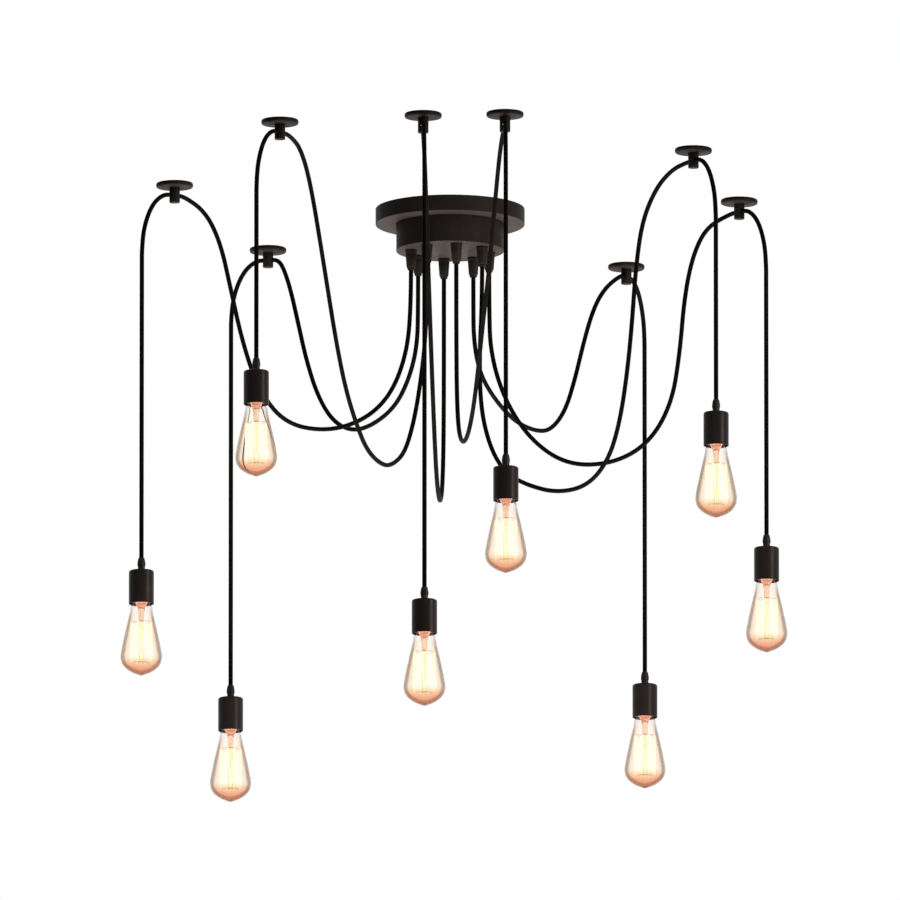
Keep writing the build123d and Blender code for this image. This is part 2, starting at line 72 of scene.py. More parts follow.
# Glands on their ring under the tier
GLAND_RING_RADIUS = 62 * MM
GLAND_FIRST_ANGLE = 9
GLAND_COUNT = 8
GLAND_LENGTH = 32 * MM
GLAND_TIP = TIER_BOTTOM - GLAND_LENGTH
GLAND_BORE_DEPTH = 12 * MM

# Cord, and the bore that it has in its gland and grip
CORD_DIAMETER = 7 * MM
CORD_RADIUS = CORD_DIAMETER / 2
CORD_BORE_RADIUS = 3.55 * MM

# Hooks: the cross-hole's depth is how far its middle lies below the ceiling
HOOK_PLATE_RADIUS = 29 * MM
HOOK_PLATE_THICKNESS = 7.2 * MM
HOOK_STEM_RADIUS = 8.25 * MM
HOOK_STEM_LENGTH = 23.8 * MM
HOOK_CROSS_HOLE = 8.4 * MM
HOOK_CROSS_HOLE_DEPTH = 19.4 * MM

# Gland index and direction of the arch, in degrees round Z, for each arm
GLAND_OF_ARM = {1: 2, 2: 6, 3: 5, 4: 7, 5: 4, 6: 0, 7: 3, 8: 1}
ARCH_DIRECTION = {
    1: 272, 2: 271.1, 3: 233.1, 4: 305, 5: 212.2, 6: 313.9, 7: 166.2, 8: 61.1,
}

# Points of each swag after its gland, in millimetres: reach along the straight line, seen from
# above, from the gland to the start of the arch at the hook, and height
SWAG_ROUTES = {
    1: (
        (0, -165), (2, -250), (8, -330), (27, -400), (72, -455), (140, -484), (217, -487),
        (289, -466), (354, -424), (414, -374), (472, -320), (529, -263), (587, -204), (643, -143),
        (695, -86), (743, -42),
    ),
    2: (
        (0, -160), (2, -238), (8, -312), (31, -371), (82, -402), (150, -408), (215, -391),
        (273, -359), (327, -315), (382, -267), (440, -222), (498, -168), (552, -109), (602, -59),
        (646, -29),
    ),
    3: (
        (0, -150), (8, -225), (33, -299), (64, -363), (106, -418), (161, -447), (212, -459),
        (287, -450), (343, -415), (395, -367), (439, -301), (476, -232), (512, -164), (550, -95),
        (582, -52), (614, -29), (643, -22),
    ),
    4: (
        (0, -155), (-7, -237), (-4, -325), (21, -392), (60, -438), (119, -467), (197, -491),
        (276, -492), (330, -459), (359, -403), (378, -329), (391, -249), (400, -169), (417, -94),
        (454, -46), (496, -24),
    ),
    5: (
        (0, -160), (8, -235), (36, -303), (83, -347), (149, -371), (223, -365), (270, -314),
        (298, -240), (318, -160), (336, -88), (362, -41),
    ),
    6: (
        (0, -155), (2, -228), (24, -303), (66, -370), (125, -412), (198, -412), (255, -381),
        (291, -319), (304, -236), (311, -152), (324, -86), (346, -40),
    ),
    7: (
        (0, -145), (2, -210), (22, -260), (57, -300), (113, -321), (166, -323), (215, -299),
        (253, -252), (281, -191), (302, -128), (318, -80), (333, -45),
    ),
    8: (
        (0, -140), (1, -201), (20, -251), (67, -285), (126, -309), (187, -314), (234, -305),
        (278, -267), (308, -210), (333, -150), (362, -91), (397, -50),
    ),
}

# Points of the arch over every hook, in millimetres from the middle of the cross-hole
ARCH_ROUTE = (
    (-18, 0), (0, 0), (18, 0), (34, -11), (46, -29), (55, -54), (59, -78), (60, -100),
)


def polar(radius, direction):
    """The x and y of a place at a distance and direction, in degrees, round Z."""
    angle = math.radians(direction)
    return radius * math.cos(angle), radius * math.sin(angle)


def hook_place(number):
    """The point on the ceiling over an arm's hook, from the record's mounts."""
    for mount in frame["record"]["mounts"]:
        if mount["name"] == f"hook_{number}_stud":
            x, y, _ = mount["pos_m"]
            return Vector((x, y, 0))


def pivot_place(number):
    """Where an arm's cord starts to hang straight, which is the axis of its swing."""
    for joint in frame["joints"]:
        if joint["name"] == f"lamp_{number}_swing":
            return Vector(joint["pos_m"])


def gland_place(index):
    """The point under the canopy's tier where a gland sits."""
    x, y = polar(GLAND_RING_RADIUS, GLAND_FIRST_ANGLE + index * 360 / GLAND_COUNT)
    return Vector((x, y, TIER_BOTTOM))


def lamp_place(number):
    """The point at the top of an arm's cord grip."""
    pivot = pivot_place(number)
    _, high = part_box(f"lampholder_{number}")
    return Vector((pivot.x, pivot.y, high[2]))


def swag_points(number):
    """The route of an arm's cord from inside its gland, over its hook, to its pivot."""
    gland = gland_place(GLAND_OF_ARM[number])
    hook = hook_place(number)
    arch = Vector((*polar(1, ARCH_DIRECTION[number]), 0))
    start = Vector((gland.x, gland.y, GLAND_TIP + GLAND_BORE_DEPTH))
    entry = hook + ARCH_ROUTE[0][0] * MM * arch
    line = Vector((entry.x - gland.x, entry.y - gland.y, 0)).normalized()
    points = [start]
    for reach, height in SWAG_ROUTES[number]:
        points.append(Vector((gland.x, gland.y, height * MM)) + reach * MM * line)
    for reach, height in ARCH_ROUTE:
        level = Vector((0, 0, height * MM - HOOK_CROSS_HOLE_DEPTH))
        points.append(hook + level + reach * MM * arch)
    return points


# Mesh making: a radius under ON_AXIS is a point on the axis, and the angles are in degrees

ON_AXIS = 1e-6
SMOOTH_ANGLE = 35
EDGE_ANGLE = 30


def new_object(name, data):
    """A mesh, curve, camera or light as an object in the scene."""
    piece = bpy.data.objects.new(name, data)
    bpy.context.scene.collection.objects.link(piece)
    return piece


def outline(points, radius=0, base=0):
    """An outline in metres, from points in millimetres that start at a radius and a height."""
    return [(radius + out * MM, base + height * MM) for out, height in points]


def smooth_line(points, steps):
    """The points of a smooth line through the given ones, with that many steps a span."""
    ends = [points[0], *points, points[-1]]
    line = []
    for before, start, end, after in zip(ends, ends[1:], ends[2:], ends[3:]):
        for step in range(steps):
            t = step / steps
            line.append(
                tuple(
                    0.5 * (2 * b + (c - a) * t + (2 * a - 5 * b + 4 * c - d) * t**2
                           + (3 * b - a - 3 * c + d) * t**3)
                    for a, b, c, d in zip(before, start, end, after)
                )
            )
    line.append(tuple(points[-1]))
    return line


def arc(centre, radius, start, end, steps):
    """Points of a round stretch of an outline, by its centre and its angles in degrees."""
    points = []
    for step in range(steps + 1):
        x, y = polar(radius, start + (end - start) * step / steps)
        points.append((centre[0] + x, centre[1] + y))
    return points


def add_ring(mesh, radius, height, place, segments):
    """Adds the points of one ring of a turned body, or its single point on the axis."""
    if radius < ON_AXIS:
        return [mesh.verts.new(place + Vector((0, 0, height)))]
    ring = []
    for step in range(segments):
        angle = 2 * math.pi * step / segments
        offset = Vector((radius * math.cos(angle), radius * math.sin(angle), height))
        ring.append(mesh.verts.new(place + offset))
    return ring


def add_band(mesh, upper, lower, segments):
    """Adds the faces between two rings, of which one may be a point on the axis."""
    for near in range(segments):
        far = (near + 1) % segments
        if len(upper) == 1:
            mesh.faces.new((upper[0], lower[near], lower[far]))
        elif len(lower) == 1:
            mesh.faces.new((upper[near], lower[0], upper[far]))
        else:
            mesh.faces.new((upper[near], lower[near], lower[far], upper[far]))


def add_turned(mesh, profile, place, segments, closed=False):
    """Adds a body turned round Z from (radius, height) points, standing at a place."""
    rings = [add_ring(mesh, radius, height, place, segments) for radius, height in profile]
    pairs = list(zip(rings, rings[1:]))
    if closed:
        pairs.append((rings[-1], rings[0]))
    for upper, lower in pairs:
        if len(upper) > 1 or len(lower) > 1:
            add_band(mesh, upper, lower, segments)


def finish_mesh(name, work):
    """Turns a bmesh into an object with outward faces, smooth but for its sharp edges."""
    bmesh.ops.recalc_face_normals(work, faces=work.faces)
    mesh = bpy.data.meshes.new(name)
    work.to_mesh(mesh)
    work.free()
    for polygon in mesh.polygons:
        polygon.use_smooth = True
    mesh.set_sharp_from_angle(angle=math.radians(SMOOTH_ANGLE))
    return new_object(name, mesh)


def turned(name, profile, places, segments, closed=False):
    """One object with a turned body at each place."""
    work = bmesh.new()
    for place in places:
        add_turned(work, profile, place, segments, closed)
    return finish_mesh(name, work)


def round_edges(piece, width, segments=3):
    """Rounds the sharp edges of a piece."""
    bevel = piece.modifiers.new("edges", "BEVEL")
    bevel.width = width
    bevel.segments = segments
    bevel.limit_method = "ANGLE"
    bevel.angle_limit = math.radians(EDGE_ANGLE)
    bevel.harden_normals = True


def cut_away(piece, cutter):
    """Takes the cutter's shape out of a piece's mesh, and the cutter out of the scene."""
    cut = piece.modifiers.new("cut", "BOOLEAN")
    cut.operation = "DIFFERENCE"
    cut.solver = "EXACT"
    cut.object = cutter
    view = bpy.context.evaluated_depsgraph_get()
    mesh = bpy.data.meshes.new_from_object(piece.evaluated_get(view))
    piece.modifiers.clear()
    piece.data = mesh
    bpy.data.objects.remove(cutter)


def new_tube(name, radius, roundness):
    """A curve without points yet, which is drawn as a round tube with closed ends."""
    data = bpy.data.curves.new(name, "CURVE")
    data.dimensions = "3D"
    data.bevel_depth = radius
    data.bevel_resolution = roundness
    data.use_fill_caps = True
    return data


def add_spline(data, kind, points):
    """Adds a spline of a kind to a curve, with the points as its control points."""
    spline = data.splines.new(kind)
    spline.points.add(len(points) - 1)
    for control, point in zip(spline.points, points):
        control.co = (*point, 1)
    return spline


def dress(piece, body, slot, material, *nodes):
    """Gives a piece its body and material, and hides the nodes that it stands for; the slot is not used."""
    piece.data.materials.clear()
    piece.data.materials.append(material)
    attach(piece, body)
    if nodes:
        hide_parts(*nodes)


# Materials


def shader(name):
    """A new material with its node tree, and its Principled shader."""
    material = bpy.data.materials.new(name)
    material.use_nodes = True
    tree = material.node_tree
    return material, tree, tree.nodes["Principled BSDF"]


def noise(tree, scale, detail, stretch=(1, 1, 1)):
    """A noise pattern fixed to the model, stretched along the axes as asked."""
    coords = tree.nodes.new("ShaderNodeTexCoord")
    mapping = tree.nodes.new("ShaderNodeMapping")
    mapping.inputs["Scale"].default_value = stretch
    pattern = tree.nodes.new("ShaderNodeTexNoise")
    pattern.inputs["Scale"].default_value = scale
    pattern.inputs["Detail"].default_value = detail
    tree.links.new(coords.outputs["Object"], mapping.inputs["Vector"])
    tree.links.new(mapping.outputs["Vector"], pattern.inputs["Vector"])
    return pattern.outputs["Fac"]


def height_share(tree):
    """The height on a piece: zero at its lowest point and one at its highest."""
    coords = tree.nodes.new("ShaderNodeTexCoord")
    split = tree.nodes.new("ShaderNodeSeparateXYZ")
    tree.links.new(coords.outputs["Generated"], split.inputs["Vector"])
    return split.outputs["Z"]


def ramp(tree, value, stops):
    """A colour ramp over a value, from stops of a position and a red, green and blue."""
    node = tree.nodes.new("ShaderNodeValToRGB")
    elements = node.color_ramp.elements
    while len(elements) > 1:
        elements.remove(elements[-1])
    (first_position, first_color), *others = stops
    elements[0].position = first_position
    elements[0].color = (*first_color, 1)
    for position, color in others:
        elements.new(position).color = (*color, 1)
    tree.links.new(value, node.inputs["Fac"])
    return node.outputs["Color"]


def grey(value):
    """A grey as the colour of a stop."""
    return (value, value, value)


def gloss(tree, body, pattern, smooth, rough):
    """Lets a surface's roughness follow a pattern, between two (position, roughness) stops."""
    stops = [(position, grey(roughness)) for position, roughness in (smooth, rough)]
    tree.links.new(ramp(tree, pattern, stops), body.inputs["Roughness"])


def glow(tree, body, stops):
    """Paints a glow on a piece, in colours that follow its height."""
    tree.links.new(ramp(tree, height_share(tree), stops), body.inputs["Emission Color"])
    body.inputs["Emission Strength"].default_value = 1


def blend_colors(tree, kind, factor, first, second):
    """Two colours put together, by a factor where one is given and in full otherwise."""
    node = tree.nodes.new("ShaderNodeMix")
    node.data_type = "RGBA"
    node.blend_type = kind
    node.inputs["Factor"].default_value = 1
    if factor:
        tree.links.new(factor, node.inputs["Factor"])
    tree.links.new(first, node.inputs["A"])
    tree.links.new(second, node.inputs["B"])
    return node.outputs["Result"]


def bump(tree, body, pattern, strength, distance):
    """Roughens a surface by a pattern, which stands out by a distance."""
    node = tree.nodes.new("ShaderNodeBump")
    node.inputs["Strength"].default_value = strength
    node.inputs["Distance"].default_value = distance
    tree.links.new(pattern, node.inputs["Height"])
    tree.links.new(node.outputs["Normal"], body.inputs["Normal"])


def paint(name, dark, light, shine, smooth, rough):
    """Satin paint: mottled colour, uneven gloss and a fine orange-peel skin."""
    material, tree, body = shader(name)
    color = ramp(tree, noise(tree, scale=22, detail=4), ((0.3, dark), (0.7, light)))
    tree.links.new(color, body.inputs["Base Color"])
    gloss(tree, body, noise(tree, scale=60, detail=5), (0.35, smooth), (0.65, rough))
    bump(tree, body, noise(tree, scale=850, detail=2), strength=0.12, distance=0.2 * MM)
    body.inputs["Specular IOR Level"].default_value = shine
    body.inputs["Specular Tint"].default_value = (1, 0.8, 0.74, 1)
    return material


def zinc():
    """Zinc-plated sheet: a dull metal with cloudy patches and fine rolling lines."""
    material, tree, body = shader("zinc")
    clouds = noise(tree, scale=70, detail=5)
    lines = noise(tree, scale=500, detail=3, stretch=(1, 0.06, 1))
    color = ramp(tree, clouds, ((0.35, (0.42, 0.42, 0.4)), (0.7, (0.6, 0.6, 0.57))))
    tree.links.new(color, body.inputs["Base Color"])
    gloss(tree, body, lines, (0.3, 0.32), (0.7, 0.5))
    bump(tree, body, lines, strength=0.15, distance=0.1 * MM)
    body.inputs["Metallic"].default_value = 1
    return material


def screw_steel():
    """Blackened steel with bright worn spots."""
    material, tree, body = shader("screw_steel")
    spots = noise(tree, scale=400, detail=4)
    color = ramp(tree, spots, ((0.45, (0.03, 0.028, 0.026)), (0.75, (0.16, 0.15, 0.14))))
    tree.links.new(color, body.inputs["Base Color"])
    bump(tree, body, spots, strength=0.1, distance=0.1 * MM)
    body.inputs["Metallic"].default_value = 0.8
    body.inputs["Roughness"].default_value = 0.42
    return material


def plastic(name, dark, light, roughness, shine):
    """Moulded plastic with a faint spark-eroded grain."""
    material, tree, body = shader(name)
    color = ramp(tree, noise(tree, scale=40, detail=3), ((0.3, dark), (0.7, light)))
    tree.links.new(color, body.inputs["Base Color"])
    bump(tree, body, noise(tree, scale=1400, detail=2), strength=0.15, distance=0.1 * MM)
    body.inputs["Roughness"].default_value = roughness
    body.inputs["Specular IOR Level"].default_value = shine
    return material


def painted_glow_plastic(name, **look):
    """Moulded plastic with a painted reddish glow at its lower end, standing in for the bulb's light."""
    material = plastic(name, **look)
    tree = material.node_tree
    body = tree.nodes["Principled BSDF"]
    # Painted glow: the bulb's reddish light, strongest at the lower end and fading out within the lowest fifth.
    glow(tree, body, ((0, (0.19, 0.065, 0.05)), (0.18, (0.02, 0.006, 0.004))))
    return material


def cord_sleeve():
    """The cord's smooth black sheath, a little dusty, with a faint lengthwise unevenness."""
    material, tree, body = shader("cord_sleeve")
    dust = noise(tree, scale=35, detail=5)
    fine = noise(tree, scale=250, detail=2, stretch=(1, 1, 0.3))
    stops = ((0.35, (0.0017, 0.0014, 0.0012)), (0.75, (0.0032, 0.0027, 0.0023)))
    tree.links.new(ramp(tree, dust, stops), body.inputs["Base Color"])
    gloss(tree, body, fine, (0.3, 0.42), (0.7, 0.6))
    bump(tree, body, fine, strength=0.05, distance=0.1 * MM)
    body.inputs["Specular IOR Level"].default_value = 0.01
    return material


def brass():
    """Bright plated metal of the caps and contacts, with handling marks."""
    material, tree, body = shader("brass")
    marks = noise(tree, scale=260, detail=4)
    color = ramp(tree, marks, ((0.35, (0.62, 0.44, 0.2)), (0.7, (0.83, 0.66, 0.36))))
    tree.links.new(color, body.inputs["Base Color"])
    gloss(tree, body, marks, (0.3, 0.22), (0.7, 0.4))
    body.inputs["Metallic"].default_value = 1
    return material


# Colours of the bulb's glass, by how far a face turns away on the lacquered body and on the neck,
# and by the height on the bulb for its tip
GLASS_FLANKS = (
    (0.0, (1.0, 0.99, 0.95)),
    (0.12, (0.998, 0.97, 0.91)),
    (0.22, (0.985, 0.9, 0.81)),
    (0.36, (0.955, 0.82, 0.69)),
    (0.43, (0.72, 0.59, 0.47)),
    (0.5, (0.46, 0.36, 0.28)),
    (0.66, (0.4, 0.31, 0.24)),
    (0.9, (0.36, 0.28, 0.22)),
)
# The clear neck greys towards its outline: a painted reflection.
GLASS_NECK = (
    (0.0, (0.98, 0.965, 0.95)),
    (0.4, (0.89, 0.88, 0.86)),
    (0.9, (0.58, 0.57, 0.55)),
)
GLASS_TIP = (
    (0.0, (0.975, 0.68, 0.59)),
    (0.1, (0.965, 0.67, 0.55)),
    (0.16, (0.965, 0.76, 0.62)),
    (0.2, (0.985, 0.93, 0.87)),
    (0.24, (1, 1, 1)),
)


def bulb_glass():
    """Clear amber-lacquered glass: pale in front, browner at its outline, orange at its tip."""
    material, tree, body = shader("bulb_glass")
    rim = tree.nodes.new("ShaderNodeLayerWeight")
    rim.inputs["Blend"].default_value = 0.5
    flanks = ramp(tree, rim.outputs["Facing"], GLASS_FLANKS)
    neck = ramp(tree, rim.outputs["Facing"], GLASS_NECK)
    height = height_share(tree)
    near_neck = ramp(tree, height, ((0.74, grey(0)), (0.92, grey(1))))
    tip = ramp(tree, height, GLASS_TIP)
    tint = blend_colors(tree, "MIX", near_neck, flanks, neck)
    tree.links.new(blend_colors(tree, "MULTIPLY", None, tint, tip), body.inputs["Base Color"])
    bump(tree, body, noise(tree, scale=45, detail=2), strength=0.05, distance=0.4 * MM)
    body.inputs["Transmission Weight"].default_value = 1
    body.inputs["Roughness"].default_value = 0.02
    body.inputs["IOR"].default_value = 1.45
    body.inputs["Specular Tint"].default_value = (0.15, 0.15, 0.15, 1)
    return material


def stem_glass():
    """The flared glass stem that carries the filament, with a painted pink-brown glow in it for the filament's
    light.
    """
    material, tree, body = shader("stem_glass")
    streaks = noise(tree, scale=160, detail=3, stretch=(1, 1, 0.2))
    color = ramp(tree, streaks, ((0.3, (0.86, 0.6, 0.5)), (0.7, (0.95, 0.76, 0.64))))
    tree.links.new(color, body.inputs["Base Color"])
    # Painted glow of the filament's light, strongest at the flare.
    glow(
        tree, body, ((0.2, (0.12, 0.07, 0.02)), (0.52, (0.16, 0.08, 0.04)), (0.68, (0.3, 0.12, 0.09)))
    )
    body.inputs["Transmission Weight"].default_value = 0.8
    body.inputs["Roughness"].default_value = 0.15
    return material


def glowing(name, color, strength):
    """A glowing filament wire, slightly cooler in places along its length."""
    material, tree, body = shader(name)
    cooler = tuple(channel * 0.88 for channel in color)
    tone = ramp(tree, noise(tree, scale=120, detail=2), ((0.3, cooler), (0.7, color)))
    tree.links.new(tone, body.inputs["Emission Color"])
    body.inputs["Base Color"].default_value = (0.05, 0.04, 0.03, 1)
    body.inputs["Emission Strength"].default_value = strength
    body.inputs["Roughness"].default_value = 0.5
    return material


CANOPY_PAINT = paint(
    "canopy_paint",
    dark=(0.0102, 0.0086, 0.0078),
    light=(0.0142, 0.012, 0.011),
    shine=0.012,
    smooth=0.36,
    rough=0.46,
)
HOOK_PAINT = paint(
    "hook_paint",
    dark=(0.0053, 0.0045, 0.004),
    light=(0.0079, 0.0067, 0.0059),
    shine=0.02,
    smooth=0.4,
    rough=0.52,
)
SOCKET_PAINT = paint(
    "socket_paint",
    dark=(0.007, 0.006, 0.0054),
    light=(0.0096, 0.0082, 0.0075),
    shine=0.07,
    smooth=0.3,
    rough=0.4,
)
ZINC = zinc()
SCREW_STEEL = screw_steel()
GLAND_PLASTIC = plastic(
    "gland_plastic",
    dark=(0.0055, 0.0047, 0.0042),
    light=(0.0095, 0.0082, 0.0074),
    roughness=0.5,
    shine=0.04,
)
HOLDER_LOOK = {
    "dark": (0.010, 0.009, 0.009),
    "light": (0.018, 0.016, 0.015),
    "roughness": 0.4,
    "shine": 0.08,
}
HOLDER_PLASTIC = plastic("lampholder_plastic", **HOLDER_LOOK)
HOLDER_PAINTED_GLOW = painted_glow_plastic("lampholder_painted_glow", **HOLDER_LOOK)
TERMINAL_PLASTIC = plastic(
    "terminal_plastic", dark=(0.68, 0.66, 0.6), light=(0.8, 0.79, 0.74), roughness=0.45, shine=0.35
)
CORD = cord_sleeve()
BRASS = brass()
BULB_GLASS = bulb_glass()
STEM_GLASS = stem_glass()
FILAMENT = glowing("filament", color=(1.0, 0.95, 0.76), strength=1.2)
FILAMENT_CORE = glowing("filament_core", color=(0.9, 0.94, 0.56), strength=1.0)


# Camera at the photograph's angle: far away with a long lens, looking up by 11 degrees

CAMERA_DISTANCE = 60
CAMERA_REACH = 4 * CAMERA_DISTANCE
CAMERA_ELEVATION = -11
SENSOR_MILLIMETRES = 36
PHOTO_SIZE = 900
PIXELS_PER_METRE = 637.5
CANOPY_PIXEL = (450.1, 209.1)


def add_camera():
    """Puts the ceiling point over the canopy at its place in the photograph."""
    tilt = math.radians(CAMERA_ELEVATION)
    right = Vector((1, 0, 0))
    back = Vector((0, -math.cos(tilt), math.sin(tilt)))
    up = back.cross(right)
    middle = PHOTO_SIZE / 2
    left_by = (middle - CANOPY_PIXEL[0]) / PIXELS_PER_METRE
    down_by = (middle - CANOPY_PIXEL[1]) / PIXELS_PER_METRE
    target = right * left_by - up * down_by
    data = bpy.data.cameras.new("camera")
    data.sensor_width = SENSOR_MILLIMETRES
    data.lens = SENSOR_MILLIMETRES * CAMERA_DISTANCE * PIXELS_PER_METRE / PHOTO_SIZE
    data.clip_end = CAMERA_REACH
    camera = new_object("camera", data)
    camera.matrix_world = Matrix.Translation(target + back * CAMERA_DISTANCE) @ (
        Matrix((right, up, back)).transposed().to_4x4()
    )
    bpy.context.scene.camera = camera


# Studio: the surround's strength as a light, the lights' colour, and the floor with the glow that it
# has where it is seen

WORLD_LIGHT = 0.07
LIGHT_COLOR = (1, 0.93, 0.89)
WHITE = (1, 1, 1, 1)
FLOOR_GLOW = 0.84
FLOOR_RADIUS = 8
FLOOR_HEIGHT = -4.6
FLOOR_SEGMENTS = 96


def add_area_light(name, place, target, size, watts, mirrored=True):
    """A rectangular studio light that faces a point, and shows in polished faces if mirrored."""
    data = bpy.data.lights.new(name, "AREA")
    data.shape = "RECTANGLE"
    data.size, data.size_y = size
    data.energy = watts
    data.color = LIGHT_COLOR
    light = new_object(name, data)
    light.location = place
    aim = Vector(target) - Vector(place)
    light.rotation_mode = "QUATERNION"
    light.rotation_quaternion = aim.to_track_quat("-Z", "Y")
    light.visible_camera = False
    light.visible_transmission = False
    light.visible_glossy = mirrored


def seen_directly(tree):
    """One where a thing is seen, in mirrors and through glass too, and zero where it gives light."""
    path = tree.nodes.new("ShaderNodeLightPath")
    seen = path.outputs["Is Camera Ray"]
    for kind in ("Is Glossy Ray", "Is Transmission Ray"):
        either = tree.nodes.new("ShaderNodeMath")
        either.operation = "MAXIMUM"
        tree.links.new(seen, either.inputs[0])
        tree.links.new(path.outputs[kind], either.inputs[1])
        seen = either.outputs[0]
    return seen


def add_world():
    """A surround that is white where it is seen, in mirrors too, and dimmer as a light."""
    world = bpy.data.worlds.new("studio")
    bpy.context.scene.world = world
    world.use_nodes = True
    tree = world.node_tree
    background = tree.nodes["Background"]
    background.inputs["Color"].default_value = WHITE
    strength = tree.nodes.new("ShaderNodeMapRange")
    strength.inputs["To Min"].default_value = WORLD_LIGHT
    strength.inputs["To Max"].default_value = 1.0
    tree.links.new(seen_directly(tree), strength.inputs["Value"])
    tree.links.new(strength.outputs["Result"], background.inputs["Strength"])


def floor_paint():
    """Pale paint that glows where it is seen, and is clear when seen from underneath."""
    material, tree, body = shader("floor")
    color = ramp(tree, noise(tree, scale=3, detail=4), ((0.3, grey(0.86)), (0.7, grey(0.9))))
    tree.links.new(color, body.inputs["Base Color"])
    body.inputs["Roughness"].default_value = 0.9
    strength = tree.nodes.new("ShaderNodeMapRange")
    strength.inputs["To Max"].default_value = FLOOR_GLOW
    tree.links.new(seen_directly(tree), strength.inputs["Value"])
    body.inputs["Emission Color"].default_value = WHITE
    tree.links.new(strength.outputs["Result"], body.inputs["Emission Strength"])
    side = tree.nodes.new("ShaderNodeNewGeometry")
    clear = tree.nodes.new("ShaderNodeBsdfTransparent")
    both = tree.nodes.new("ShaderNodeMixShader")
    tree.links.new(side.outputs["Backfacing"], both.inputs["Fac"])
    tree.links.new(body.outputs["BSDF"], both.inputs[1])
    tree.links.new(clear.outputs["BSDF"], both.inputs[2])
    tree.links.new(both.outputs["Shader"], tree.nodes["Material Output"].inputs["Surface"])
    return material


def add_floor():
    """The round floor far below the lamps."""
    work = bmesh.new()
    bmesh.ops.create_circle(work, cap_ends=True, segments=FLOOR_SEGMENTS, radius=FLOOR_RADIUS)
    floor = finish_mesh("floor", work)
    floor.location = (0, 0, FLOOR_HEIGHT)
    floor.data.materials.append(floor_paint())


add_camera()
add_world()
add_area_light("key", place=(3.55, -2.3, -0.4), target=(0, 0, -0.4), size=(1.0, 3.0), watts=190)
add_area_light(
    "below", place=(0, -0.1, -4.4), target=(0, -0.1, 0), size=(2.8, 2.8), watts=1470, mirrored=False
)
add_area_light(
    "above", place=(0.4, -0.4, 2.2), target=(0, 0, -0.4), size=(3.0, 3.0), watts=25, mirrored=False
)
add_floor()


# Cords

CORD_STEPS = 14
CORD_ROUNDNESS = 5
CORD_CURVE_ORDER = 3
TUBE_STEP = 10 * MM
TUBE_SIDES = 20
GRIP_BORE_DEPTH = 12 * MM


def add_route(data, points):
    """One smooth spline with the route's points as its control points."""
    data.resolution_u = CORD_STEPS
    spline = add_spline(data, "NURBS", points)
    spline.order_u = CORD_CURVE_ORDER
    spline.use_endpoint_u = True


def curve_length(points):
    """The length of the smooth cord that the route's points control."""
    data = bpy.data.curves.new("measure", "CURVE")
    data.dimensions = "3D"
    add_route(data, points)
    probe = new_object("measure", data)
    mesh = bpy.data.meshes.new_from_object(probe)
    places = [vertex.co.copy() for vertex in mesh.vertices]
    bpy.data.objects.remove(probe)
    return sum((far - near).length for near, far in zip(places, places[1:]))


def swag_cord(number):
    """The cord from its gland, down and up to its hook and over it."""
    points = swag_points(number)
    data = new_tube(f"swag_{number}", CORD_RADIUS, CORD_ROUNDNESS)
    add_route(data, points)
    cord = new_object(f"swag_{number}", data)
    dress(cord, "root", "cord_sleeve", CORD, f"swag_cord_{number}")
    curve_length(points)


def dress_blended(cord, number):
    """Gives a drop cord its material, hides the node that it stands for and bakes its place into its mesh."""
    cord.data.materials.append(CORD)
    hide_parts(f"drop_cord_{number}")
    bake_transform(cord)


def drop_cord(number):
    """The straight cord from the pivot down into the lamp's grip."""
    top = pivot_place(number)
    bottom = lamp_place(number) - Vector((0, 0, GRIP_BORE_DEPTH))
    length = top.z - bottom.z
    steps = max(2, round(length / TUBE_STEP))
    path = [top.lerp(bottom, step / steps) for step in range(steps + 1)]
    work = bmesh.new()
    profile = [(0, 0), *((CORD_RADIUS, point.z - top.z) for point in path), (0, bottom.z - top.z)]
    add_turned(work, profile, top, TUBE_SIDES)
    cord = finish_mesh(f"drop_{number}", work)
    dress_blended(cord, number)


for number in ARMS:
    swag_cord(number)
    drop_cord(number)


# Canopy

CANOPY_SEGMENTS = 160
CANOPY_EDGE = 0.7 * MM
GLAND_SEGMENTS = 48
GLAND_EDGE = 0.35 * MM

# A gland's outline: its spigot, the ring at its top and its taper, and then its rounded tip, whose
# heights are over the gland's lower end
GLAND_OUTLINE = (
    (0, 8.1), (6, 8.1), (6, 0), (9.3, 0), (9.3, -3), (8.9, -3.6), (8.6, -8), (7.15, -27.2),
    (6.7, -28), (5.9, -28.4),
)
GLAND_TIP_OUTLINE = ((5.6, 0.6), (5.0, 0))


def canopy_pan():
    """The wide cup with the lip turned in at the ceiling."""
    inner = PAN_RADIUS - SHEET
    lip = PAN_RADIUS - PAN_LIP
    floor_top = SHEET - PAN_DEPTH
    hole = TIER_RADIUS + FIT_GAP
    profile = (
        (lip, 0), (PAN_RADIUS, 0), (PAN_RADIUS, -PAN_DEPTH), (hole, -PAN_DEPTH),
        (hole, floor_top), (inner, floor_top), (inner, -SHEET), (lip, -SHEET),
    )
    pan = turned("canopy_pan_skin", profile, [Vector()], CANOPY_SEGMENTS, closed=True)
    round_edges(pan, CANOPY_EDGE)
    dress(pan, "root", "canopy_paint", CANOPY_PAINT, "canopy_pan")


def canopy_tier():
    """The narrower cup that holds the glands."""
    inner = TIER_RADIUS - SHEET
    flange = TIER_RADIUS + TIER_FLANGE
    flange_low = SHEET - PAN_DEPTH
    profile = (
        (inner, flange_low + SHEET), (flange, flange_low + SHEET), (flange, flange_low),
        (TIER_RADIUS, flange_low), (TIER_RADIUS, TIER_BOTTOM), (0, TIER_BOTTOM),
        (0, TIER_BOTTOM + SHEET), (inner, TIER_BOTTOM + SHEET),
    )
    tier = turned("canopy_tier_skin", profile, [Vector()], CANOPY_SEGMENTS, closed=True)
    round_edges(tier, CANOPY_EDGE)
    dress(tier, "root", "canopy_paint", CANOPY_PAINT, "canopy_tier")


